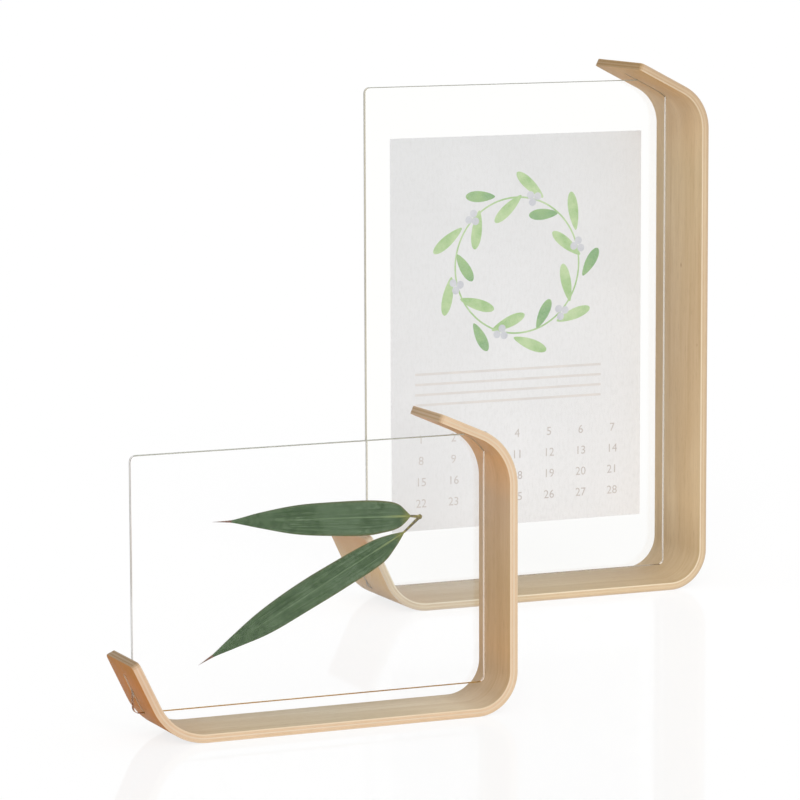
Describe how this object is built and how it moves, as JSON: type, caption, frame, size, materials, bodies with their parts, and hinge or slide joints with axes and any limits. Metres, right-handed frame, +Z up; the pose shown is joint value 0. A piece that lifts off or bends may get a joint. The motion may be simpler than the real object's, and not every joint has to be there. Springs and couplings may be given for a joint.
{
  "type": "photo frame",
  "caption": "Moulded plywood table frames holding clear slotted-in acrylic panels, for showing prints and pressed leaves on a desk or shelf",
  "frame": {"origin": "centre of the pair's footprint, on the surface that both frames stand on", "axes": "+X along the panels from the foot arms to the uprights, +Y from the small frame in front to the tall frame behind, +Z up"},
  "size_m": [0.4232, 0.3088, 0.2855],
  "materials": {
    "face_veneer": "pale birch veneer under a satin clear coat",
    "cross_veneer": "end grain of the cross veneers",
    "clear_acrylic": "clear polished acrylic",
    "leaf": "dried green leaf",
    "twig": "dried twig",
    "print_paper": "uncoated printed paper"
  },
  "bodies": {
    "frame_small": {"small_outer_ply": "face_veneer", "small_outer_cross_ply": "cross_veneer", "small_core_ply": "face_veneer", "small_inner_cross_ply": "cross_veneer", "small_inner_ply": "face_veneer"},
    "panel_small": {"small_front_sheet": "clear_acrylic", "small_back_sheet": "clear_acrylic", "upper_leaf": "leaf", "lower_leaf": "leaf", "leaf_twig": "twig"},
    "frame_tall": {"tall_outer_ply": "face_veneer", "tall_outer_cross_ply": "cross_veneer", "tall_core_ply": "face_veneer", "tall_inner_cross_ply": "cross_veneer", "tall_inner_ply": "face_veneer"},
    "panel_tall": {"tall_front_sheet": "clear_acrylic", "tall_back_sheet": "clear_acrylic"},
    "print_tall": {"tall_print": "print_paper"}
  },
  "joints": [
    {"name": "small_panel_lift", "type": "slide", "parent": "frame_small", "child": "panel_small", "axis": [0, 0, 1], "range_m": [0, 0.0055]},
    {"name": "tall_frame_slide", "type": "slide", "parent": "frame_small", "child": "frame_tall", "axis": [0, -1, 0], "range_m": [0, 0.2]},
    {"name": "tall_panel_lift", "type": "slide", "parent": "frame_tall", "child": "panel_tall", "axis": [0, 0, 1], "range_m": [0, 0.003]},
    {"name": "print_slide", "type": "slide", "parent": "panel_tall", "child": "print_tall", "axis": [-0.9703, 0, 0.2419], "range_m": [0, 0.17]}
  ]
}
